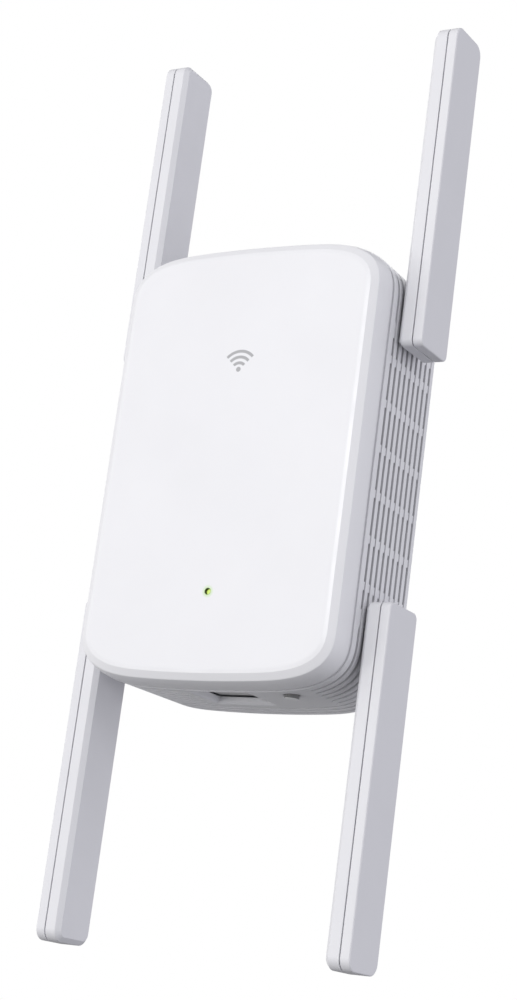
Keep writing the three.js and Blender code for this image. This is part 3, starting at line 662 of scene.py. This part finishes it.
def tub_shell():
    """The vented tub: rows of points from its front edge round the outside and back inside."""
    rows = vent_rows()
    ends = sorted(z for pair in rows for z in pair)
    first, last = BODY_CENTRE_Z - CORNER_START_Z, BODY_CENTRE_Z + CORNER_START_Z
    side = [first, -44.5, -42, -40, *ends, 40, 42, 44.5, last]
    samples = perimeter(side)
    columns = len(samples)

    points = []
    outer_floor, inner_floor = {}, {}

    def add_row(y, half_width, half_height):
        points.extend(body_ring(samples, y, half_width, half_height))
        return len(points) // columns - 1

    def add_groove_row(ring, y, share):
        half_width, half_height = wall_sizes(y)
        for sample in samples:
            x, z = outline_point(half_width, half_height, sample)
            depth = share * groove_depth(ring, sample, x, z)
            x, z = outline_point(half_width - depth, half_height - depth, sample)
            points.append((x, y, z))
        return len(points) // columns - 1

    front = HOUSING_FRONT_Y
    add_row(front, HALF_WIDTH - WALL, HALF_HEIGHT - WALL)
    for back, inset in PARTING_GROOVE:
        half_width, half_height = wall_sizes(front + back)
        add_row(front + back, half_width - inset, half_height - inset)
    for ring in range(VENT_RINGS):
        y = VENT_FIRST_Y + ring * VENT_PITCH
        for lip, share in VENT_LIP_PROFILE:
            outer_floor[ring] = add_groove_row(ring, y - VENT_HALF_WIDTH - VENT_LIP * lip, share)
        for lip, share in reversed(VENT_LIP_PROFILE):
            add_groove_row(ring, y + VENT_HALF_WIDTH + VENT_LIP * lip, share)
    add_row(SIDE_END_Y, *wall_sizes(SIDE_END_Y))
    for step in range(1, 7):
        angle = math.pi / 2 * step / 6
        inset = BACK_ROUND * (1 - math.cos(angle))
        y = SIDE_END_Y + (BACK_Y - SIDE_END_Y) * math.sin(angle)
        half_width, half_height = wall_sizes(SIDE_END_Y)
        add_row(y, half_width - inset, half_height - inset)
    back_row = add_row(BACK_Y, half_width - BACK_ROUND - 0.4, half_height - BACK_ROUND - 0.4)

    def add_inner_row(y):
        half_width, half_height = wall_sizes(y)
        return add_row(y, half_width - WALL, half_height - WALL)

    inner_start = add_row(BACK_Y - 2.2, HALF_WIDTH - DRAFT - WALL, HALF_HEIGHT - WALL)
    for ring in reversed(range(VENT_RINGS)):
        y = VENT_FIRST_Y + ring * VENT_PITCH
        add_inner_row(y + VENT_HALF_WIDTH)
        inner_floor[ring] = add_inner_row(y - VENT_HALF_WIDTH)

    total = len(points) // columns
    through = [
        column for column, sample in enumerate(samples)
        if sample[0] == "side" and in_slot(samples, column, rows)
    ]
    skip = {(outer_floor[ring], column) for ring in outer_floor for column in through}
    skip |= {(inner_floor[ring] - 1, column) for ring in inner_floor for column in through}
    skip |= {(back_row, column) for column in range(columns)}
    faces = ring_faces(total, columns, skip)

    def index(row, column):
        return row * columns + column % columns

    for ring in outer_floor:
        out_front, in_front = outer_floor[ring], inner_floor[ring]
        out_rear, in_rear = out_front + 1, in_front - 1
        for column in through:
            for outer_row, inner_row in ((out_front, in_front), (out_rear, in_rear)):
                faces.append((
                    index(outer_row, column), index(outer_row, column + 1),
                    index(inner_row, column + 1), index(inner_row, column),
                ))
            for edge, neighbour in ((column, column - 1), (column + 1, column + 1)):
                if neighbour not in through:
                    faces.append((
                        index(out_front, edge), index(out_rear, edge),
                        index(in_rear, edge), index(in_front, edge),
                    ))
    faces.append(tuple(index(back_row, c) for c in range(columns)))
    faces.append(tuple(index(inner_start, c) for c in range(columns)))
    last_row = total - 1
    for column in range(columns):
        faces.append((
            index(last_row, column), index(last_row, column + 1),
            index(0, column + 1), index(0, column),
        ))
    return mesh_object("housing_shell", points, faces)


def in_slot(samples, column, rows):
    """True if the stretch of side wall from this column to the next lies inside a slot."""
    ahead = samples[(column + 1) % len(samples)]
    if ahead[0] != "side":
        return False
    middle = (samples[column][1] + ahead[1]) / 2
    return any(low < middle < high for low, high in rows)


def boss_ring(y, inset):
    """The plug boss's eight-sided outline at station y, shrunk by an inset."""
    half_x, half_z = BOSS_HALF_SIZE
    flat_x, flat_z = BOSS_HALF_FLAT
    corners = [
        (flat_x, half_z), (half_x, flat_z), (half_x, -flat_z), (flat_x, -half_z),
        (-flat_x, -half_z), (-half_x, -flat_z), (-half_x, flat_z), (-flat_x, half_z),
    ]
    scale_x = 1 - inset / half_x
    scale_z = 1 - inset / half_z
    shrunk = [(x * scale_x, z * scale_z) for x, z in corners]
    return [(p.x, y, p.y) for p in rounded(shrunk, 1.0)]


def window_cutter():
    """Bevelled window for the jack, cut up through the underside."""
    surface = BODY_CENTRE_Z - HALF_HEIGHT
    rings = []
    for z, grow, radius in (
        (surface - 0.6, WINDOW_BEVEL + 0.6, 0.9), (surface + WINDOW_BEVEL - 0.04, 0.04, 0.5),
        (surface + WINDOW_BEVEL + 0.08, 0, 0.45), (surface + 4.5, 0, 0.45),
    ):
        rings.append(oblong(WINDOW_LOW, WINDOW_HIGH, z, -grow, radius))
    return lofted("window", rings)


def rear_housing():
    tub = tub_shell()
    post = [(SCREW_POST_RADIUS, -48), (SCREW_POST_RADIUS, -19)]
    joins = [turned("post", post, "Y", (x, 0, z)) for x, z in SCREW_PLACES]
    joins.append(lofted("boss", [
        boss_ring(BACK_Y - 1, -0.5), boss_ring(BACK_Y, -0.5), boss_ring(BACK_Y + 0.15, -0.2),
        boss_ring(BACK_Y + 0.5, 0), boss_ring(-0.7, 0), boss_ring(-0.35, 0.1), boss_ring(-0.1, 0.3),
        boss_ring(0, 0.6),
    ]))
    boolean(tub, "UNION", joins)
    cuts = [lofted("hollow", [boss_ring(-21.5, 2.4), boss_ring(-2.5, 2.4)])]
    radius = SCREW_WELL_RADIUS
    well = [(radius, SCREW_SEAT_Y), (radius, BACK_Y - 0.3), (radius + 0.4, BACK_Y + 0.1)]
    pilot = [(HOUSING_PILOT_RADIUS, -49), (HOUSING_PILOT_RADIUS, SCREW_SEAT_Y + 1)]
    for x, z in SCREW_PLACES:
        cuts.append(turned("well", well, "Y", (x, 0, z)))
        cuts.append(turned("pilot", pilot, "Y", (x, 0, z), 32))
    pin_hole = [(PIN_RADIUS + 0.3, -4), (PIN_RADIUS + 0.3, -0.3), (PIN_RADIUS + 0.7, 0.1)]
    for x in (-PIN_X, PIN_X):
        cuts.append(turned("pin_hole", pin_hole, "Y", (x, 0, 0)))
    for z in (-HINGE_Z, HINGE_Z):
        for low, high in ((-45, -35), (35, 45)):  # through the left and the right side wall
            hole = [(HINGE_HOLE_RADIUS, low), (HINGE_HOLE_RADIUS, high)]
            cuts.append(turned("hinge_hole", hole, "X", (0, HINGE_Y, z)))
    button_hole = [(2.45, -65), (2.45, -61.6), (2.3, -61.4), (2.3, -58)]
    cuts.append(turned("button_hole", button_hole, "Z", BUTTON_AXIS))
    cuts.append(window_cutter())
    boolean(tub, "DIFFERENCE", cuts)
    dress(tub, BODY_WHITE, "housing", ["rear_housing"], sharp=28)


# ------------------------------------------------------------------ antennas


def antenna_ring(x, inset):
    """Rounded oblong in the YZ plane, for the right upper antenna."""
    root, tip = (max(r - inset, 0.25) for r in (ANTENNA_ROOT_CORNER, ANTENNA_CORNER))
    low_y, high_y = OUTER_LOW.y + inset, OUTER_HIGH.y - inset
    low_z, high_z = OUTER_LOW.z + inset, OUTER_HIGH.z - inset
    corners = [(low_y, low_z), (high_y, low_z), (high_y, high_z), (low_y, high_z)]
    return [(x, p.x, p.y) for p in rounded(corners, (root, root, tip, tip), 8)]


def antenna_outer():
    """Outer half shell, open at the seam; stations are places along X with their insets."""
    seam = OUTER_LOW.x
    outside = OUTER_HIGH.x
    edge = ANTENNA_EDGE
    wall = ANTENNA_WALL
    stations = [(outside, edge + 0.3)]
    for step in range(6):
        angle = math.pi / 2 * step / 5
        stations.append((outside - edge * (1 - math.cos(angle)), edge * (1 - math.sin(angle))))
    stations += [
        (seam + 0.12, 0), (seam, 0.1), (seam, wall), (outside - 1.2, wall),
        (outside - 1.2, wall + 0.4),
    ]
    return lofted("antenna_outer", [antenna_ring(x, inset) for x, inset in stations])


def antenna_inner():
    """Inner half shell with its hollow hinge stub."""
    seam = OUTER_LOW.x - SEAM_GAP
    inside = INNER_EDGE_X
    chamfer = ANTENNA_CHAMFER
    tongue = ANTENNA_WALL + 0.15
    stations = [
        (inside, chamfer + 0.3), (inside, chamfer + 0.08), (inside + 0.08, chamfer - 0.05),
        (inside + chamfer - 0.18, 0.14), (inside + chamfer - 0.02, 0.03),
        (inside + chamfer + 0.16, 0), (seam - 0.12, 0), (seam, 0.1), (seam, tongue),
        (seam + 1, tongue), (seam + 1.1, tongue + 0.1), (seam + 1.1, tongue + 0.7),
        (inside + chamfer, tongue + 0.7), (inside + chamfer, tongue + 1),
    ]
    shell = lofted("antenna_inner", [antenna_ring(x, inset) for x, inset in stations])
    stub = [
        (3.1, STUB_END_X), (STUB_RADIUS, STUB_END_X + 0.4), (STUB_RADIUS, 36.6), (2.9, 36.6),
        (2.9, 37.9), (STUB_RADIUS, 37.9), (STUB_RADIUS, inside - 0.25),
        (STUB_RADIUS + 0.25, inside + 0.1), (STUB_RADIUS + 0.25, inside + 0.6),
    ]
    centre = (0, HINGE_Y, HINGE_Z)
    boolean(shell, "UNION", [turned("stub", stub, "X", centre)])
    bore = [(2.3, STUB_END_X - 0.1), (2, STUB_END_X + 0.2), (2, inside + 2)]
    boolean(shell, "DIFFERENCE", [turned("bore", bore, "X", centre)])
    return shell


def mirrored(source, name, flip_x, flip_z):
    """A copy of a piece, flipped across the middle planes it is asked for."""
    mesh = source.data.copy()
    mesh.transform(Matrix.Diagonal((-1 if flip_x else 1, 1, -1 if flip_z else 1, 1)))
    piece = bpy.data.objects.new(name, mesh)
    bpy.context.scene.collection.objects.link(piece)
    turn_out(piece)
    return piece


def antennas():
    for kind, source in (("outer_shell", antenna_outer()), ("inner_shell", antenna_inner())):
        for across, flip_x in (("left", True), ("right", False)):
            for level, flip_z in (("lower", True), ("upper", False)):
                body = f"antenna_{level}_{across}"
                node = f"{body}_{kind}"
                piece = mirrored(source, f"{node}_fine", flip_x, flip_z)
                dress(piece, ANTENNA_WHITE, body, [node], sharp=24)
        old = source.data
        bpy.data.objects.remove(source)
        bpy.data.meshes.remove(old)


# ------------------------------------------------------------------ port, button and light


def lan_jack():
    centre_x = (JACK_LOW.x + JACK_HIGH.x) / 2
    face = JACK_LOW.z
    low, high = (JACK_LOW.x, JACK_LOW.y), (JACK_HIGH.x, JACK_HIGH.y)
    jack = lofted("lan_jack_fine", [
        oblong(low, high, face, 0.3, 0.3), oblong(low, high, face + 0.25, 0.05, 0.5),
        oblong(low, high, face + 0.5, 0, 0.5), oblong(low, high, JACK_HIGH.z - 0.3, 0, 0.5),
        oblong(low, high, JACK_HIGH.z, 0.3, 0.3),
    ])
    # A flange closes the gap between the jack and the front of its window.
    flange_low = (low[0] + 0.3, WINDOW_LOW[1] + 0.06)
    flange_high = (high[0] - 0.3, JACK_LOW.y + 1.5)
    flange = lofted("flange", [
        oblong(flange_low, flange_high, face + 0.4, 0, 0.2),
        oblong(flange_low, flange_high, face + 3, 0, 0.2),
    ])
    boolean(jack, "UNION", [flange])
    outside, inmost = face - 0.2, face + MOUTH_DEPTH
    low, high = ((centre_x + side * MOUTH_HALF_WIDTH, y) for side, y in zip((-1, 1), MOUTH_Y))
    mouth = lofted("mouth", [
        oblong(low, high, outside, -0.35, 0.5), oblong(low, high, face + 0.35, 0, 0.3),
        oblong(low, high, inmost, 0, 0.3),
    ])
    low, high = ((centre_x + side * LATCH_HALF_WIDTH, y) for side, y in zip((-1, 1), LATCH_Y))
    latch = lofted("latch", [oblong(low, high, z, 0, 0.15) for z in (outside, inmost)])
    boolean(jack, "DIFFERENCE", [mouth, latch])
    dress(jack, JACK_GREY, "housing", ["lan_jack"])


def push_button():
    """Button with a dished end, a collar that stops it and a plunger above."""
    tip = BUTTON_LOW.z
    radius = BUTTON_RADIUS
    profile = [
        (radius - 0.9, tip + 0.1), (radius - 0.7, tip), (radius - 0.3, tip + 0.02),
        (radius - 0.1, tip + 0.1), (radius, tip + 0.3), (radius, -58.9),
        (2.1, -58.6), (3.1, -58.6), (3.1, -57.8), (1.2, -57.8), (1.2, -56.5), (1, BUTTON_HIGH.z),
    ]
    button = turned("push_button_fine", profile, "Z", BUTTON_AXIS)
    dress(button, BUTTON_GREY, "push_button", ["push_button"])


def light_pipe():
    tip = FACE_Y + LIGHT_RECESS
    radius = LIGHT_HOLE_RADIUS - 0.05
    profile = [
        (0.2, tip), (0.5, tip + 0.03), (0.7, tip + 0.1), (radius, tip + 0.22), (radius, -57.3),
        (1.1, -57.1), (1.1, -52.4), (2, -52.4), (2, LIGHT_HIGH.y),
    ]
    pipe = turned("light_pipe_fine", profile, "Y", LIGHT_AXIS)
    dress(pipe, SLOT_MATERIALS["clear_plastic"], "housing", ["light_pipe"])


def plug_pins():
    for side, x in (("left", -PIN_X), ("right", PIN_X)):
        tip = box_mm(f"plug_pin_{side}")[1].y
        profile = [
            (1.8, -12), (1.8, -4), (3, -4), (3, -2.8), (1.3, -2.8), (1.3, 10.1), (1.9, 10.1),
            (PIN_RADIUS, 10.25), (PIN_RADIUS, tip - 1.6), (1.93, tip - 1.1), (1.72, tip - 0.6),
            (1.4, tip - 0.25), (0.95, tip - 0.05), (0.4, tip),
        ]
        pin = turned(f"plug_pin_{side}_fine", profile, "Y", (x, 0, 0))
        dress(pin, SLOT_MATERIALS["nickel"], "housing", [f"plug_pin_{side}"])
        section = [(1.6, -2.4), (PIN_RADIUS, -2.4), (PIN_RADIUS, 9.6), (1.9, 9.8), (1.6, 9.8)]
        node = f"pin_sleeve_{side}"
        sleeve = sleeve_tube(f"{node}_fine", section, (x, 0, 0))
        dress(sleeve, SLOT_MATERIALS["dark_plastic"], "housing", [node])


def sleeve_tube(name, section, centre, segments=48):
    """A ring of revolution about Y whose section closes on itself."""
    count = len(section)
    points = []
    faces = []
    for i in range(segments):
        angle = 2 * math.pi * i / segments
        for radius, y in section:
            x, z = centre[0] + radius * math.cos(angle), centre[2] + radius * math.sin(angle)
            points.append((x, centre[1] + y, z))
        for j in range(count):
            a, b = i * count + j, i * count + (j + 1) % count
            c, d = (b + count) % (segments * count), (a + count) % (segments * count)
            faces.append((a, b, c, d))
    return mesh_object(name, points, faces)


# ------------------------------------------------------------------ printed mark


def signal_mark():
    """A plain printed signal sign, three arcs over a dot, a hair proud of the face."""
    centre_x, base_z = MARK_PLACE
    buried = 0.1
    points, faces = [], []

    def strip(outline_outer, outline_inner):
        start = len(points)
        count = len(outline_outer)
        for y in (FACE_Y - MARK_PROUD, FACE_Y + buried):
            for (x, z) in [*outline_outer, *reversed(outline_inner)]:
                points.append((x, y, z))
        ring = 2 * count
        faces.append(tuple(range(start, start + ring)))
        faces.append(tuple(range(start + ring, start + 2 * ring)))
        for i in range(ring):
            j = (i + 1) % ring
            faces.append((start + i, start + j, start + ring + j, start + ring + i))

    def arc(radius, turns, middle_z=base_z):
        """Points at a radius from the middle; turns are measured from straight up."""
        return [(centre_x + radius * math.sin(a), middle_z + radius * math.cos(a)) for a in turns]

    fan = [math.radians(46) * (2 * s / 24 - 1) for s in range(25)]
    for radius in MARK_ARC_RADII:
        strip(arc(radius + MARK_HALF_LINE, fan), arc(radius - MARK_HALF_LINE, fan))
    half_turn = [math.pi * s / 16 for s in range(17)]
    dot_z = base_z + MARK_DOT_RISE
    strip(
        arc(MARK_DOT_RADIUS, [a - math.pi / 2 for a in half_turn], dot_z),
        arc(MARK_DOT_RADIUS, [-math.pi / 2 - a for a in half_turn], dot_z),
    )
    mark = mesh_object("signal_mark", points, faces)
    merge_points(mark)
    dress(mark, MARK_GREY, "housing")


def merge_points(piece):
    """Joins points that coincide, which also removes edges and faces of no size."""
    work = bmesh.new()
    work.from_mesh(piece.data)
    bmesh.ops.remove_doubles(work, verts=work.verts, dist=1e-6)
    bmesh.ops.dissolve_degenerate(work, edges=work.edges, dist=1e-6)
    bmesh.ops.recalc_face_normals(work, faces=work.faces)
    work.to_mesh(piece.data)
    work.free()


# ------------------------------------------------------------------ studio


def look_at(thing, target, roll=0.0):
    """Points an object's -Z at a target, level, and then rolls it about that axis."""
    forward = (target - thing.location).normalized()
    right = forward.cross(Vector((0, 0, 1))).normalized()
    up = right.cross(forward)
    cos, sin = math.cos(roll), math.sin(roll)
    right, up = right * cos + up * sin, up * cos - right * sin
    turn = Matrix((right, up, -forward)).transposed().to_4x4()
    thing.matrix_world = Matrix.Translation(thing.location) @ turn


def add_camera():
    data = bpy.data.cameras.new("camera")
    data.lens = CAMERA_LENS
    data.sensor_width = 36.0
    data.clip_start = 0.01
    data.clip_end = 50.0
    camera = bpy.data.objects.new("camera", data)
    bpy.context.scene.collection.objects.link(camera)
    azimuth, climb = math.radians(CAMERA_AZIMUTH), math.radians(CAMERA_CLIMB)
    aim = Vector(CAMERA_AIM)
    forward = Vector((
        -math.sin(azimuth) * math.cos(climb), math.cos(azimuth) * math.cos(climb), math.sin(climb),
    ))
    camera.location = aim - forward * CAMERA_DISTANCE
    look_at(camera, aim, math.radians(CAMERA_ROLL))
    bpy.context.scene.camera = camera


def area_light(name, place, size, power):
    """A square light that faces the object and isn't seen by the camera."""
    data = bpy.data.lights.new(name, "AREA")
    data.shape = "SQUARE"
    data.size = size
    data.energy = power
    light = bpy.data.objects.new(name, data)
    bpy.context.scene.collection.objects.link(light)
    light.location = Vector(place)
    light.visible_camera = False
    look_at(light, Vector(LAMP_AIM))


def add_floor():
    """A pale floor well below the object, which throws no light back up at it."""
    half = FLOOR_HALF_WIDTH
    points = [(-half, -half, 0), (half, -half, 0), (half, half, 0), (-half, half, 0)]
    floor = mesh_object("floor", [Vector(p) / MM for p in points], [(0, 1, 2, 3)])
    floor.location.z = FLOOR_Z
    paint = moulded_plastic("floor_paint", (0.82, 0.82, 0.82), 0.8, 0, 900, 0.01)
    surface = reopened(paint)[1]
    surface.inputs["Emission Color"].default_value = (1, 1, 1, 1)
    surface.inputs["Emission Strength"].default_value = FLOOR_GLOW
    floor.data.materials.append(paint)
    floor.visible_diffuse = False
    floor.visible_glossy = False
    floor.visible_shadow = False


# Soft lobes of the studio's surroundings: middle direction, cosines at its rim and at full
# strength, radiance, colour.
NEUTRAL = (1.0, 0.995, 1.0)
COOL = (0.985, 0.985, 1.045)
LOBES = (
    ((1, 0.3, 0.05), 0, 1, 0.95, COOL),
    ((-1, 0, 0), 0, 1, 0.55, NEUTRAL),
    ((-0.5, -0.85, 0.16), 0.3, 1, 0.7, NEUTRAL),
    ((-0.55, -0.8, 0.2), 0.85, 1, 0.6, NEUTRAL),
)


def add_world():
    """White surroundings to look at; softer lobes of light from the front and both sides."""
    world = bpy.data.worlds.new("studio")
    bpy.context.scene.world = world
    world.use_nodes = True
    nodes = Nodes(world.node_tree)
    direction = nodes.add("ShaderNodeTexCoord").outputs["Generated"]
    total = None
    for middle, rim, full, radiance, colour in LOBES:
        facing = nodes.add("ShaderNodeVectorMath", operation="DOT_PRODUCT")
        nodes.link(direction, facing.inputs[0])
        facing.inputs[1].default_value = Vector(middle).normalized()
        fall = nodes.add("ShaderNodeMapRange", interpolation_type="SMOOTHSTEP")
        fall.inputs["From Min"].default_value = rim
        fall.inputs["From Max"].default_value = full
        fall.inputs["To Max"].default_value = radiance
        nodes.link(facing.outputs["Value"], fall.inputs["Value"])
        lobe = nodes.add("ShaderNodeBackground")
        lobe.inputs["Color"].default_value = (*colour, 1)
        nodes.link(fall.outputs["Result"], lobe.inputs["Strength"])
        if total is None:
            total = lobe.outputs["Background"]
            continue
        both = nodes.add("ShaderNodeAddShader")
        nodes.link(total, both.inputs[0])
        nodes.link(lobe.outputs["Background"], both.inputs[1])
        total = both.outputs["Shader"]
    white = nodes.add("ShaderNodeBackground")
    seen = nodes.add("ShaderNodeMixShader")
    nodes.link(nodes.add("ShaderNodeLightPath").outputs["Is Camera Ray"], seen.inputs["Fac"])
    nodes.link(total, seen.inputs[1])
    nodes.link(white.outputs["Background"], seen.inputs[2])
    white.inputs["Color"].default_value = (1, 1, 1, 1)
    output = nodes.add("ShaderNodeOutputWorld")
    nodes.link(seen.outputs["Shader"], output.inputs["Surface"])


def studio():
    add_camera()
    add_floor()
    add_world()
    area_light("front", (0.063, -1.2, 0.31), 0.22, 5.2)
    area_light("edge", (0.97, -0.6, 0.29), 0.2, 0.6)
    area_light("low", (-0.61, -1.04, -0.27), 0.25, 1.3)
    area_light("back", (-0.6, 1.0, 0.5), 0.9, 6.0)
    scene = bpy.context.scene
    scene.view_settings.view_transform = "Standard"
    scene.view_settings.look = "None"


# ------------------------------------------------------------------ assembly

studio()
front_cover()
rear_housing()
antennas()
lan_jack()
push_button()
light_pipe()
plug_pins()
signal_mark()
paint_glow_round_light(BODY_WHITE, (0.012, 0.022, 0.002), (0.58, 0.77, 0.42))

for part in frame["record"]["subparts"]:
    node = frame["nodes"][part["node"]]
    node.data.materials.clear()
    node.data.materials.append(SLOT_MATERIALS[part["material_slot"]])
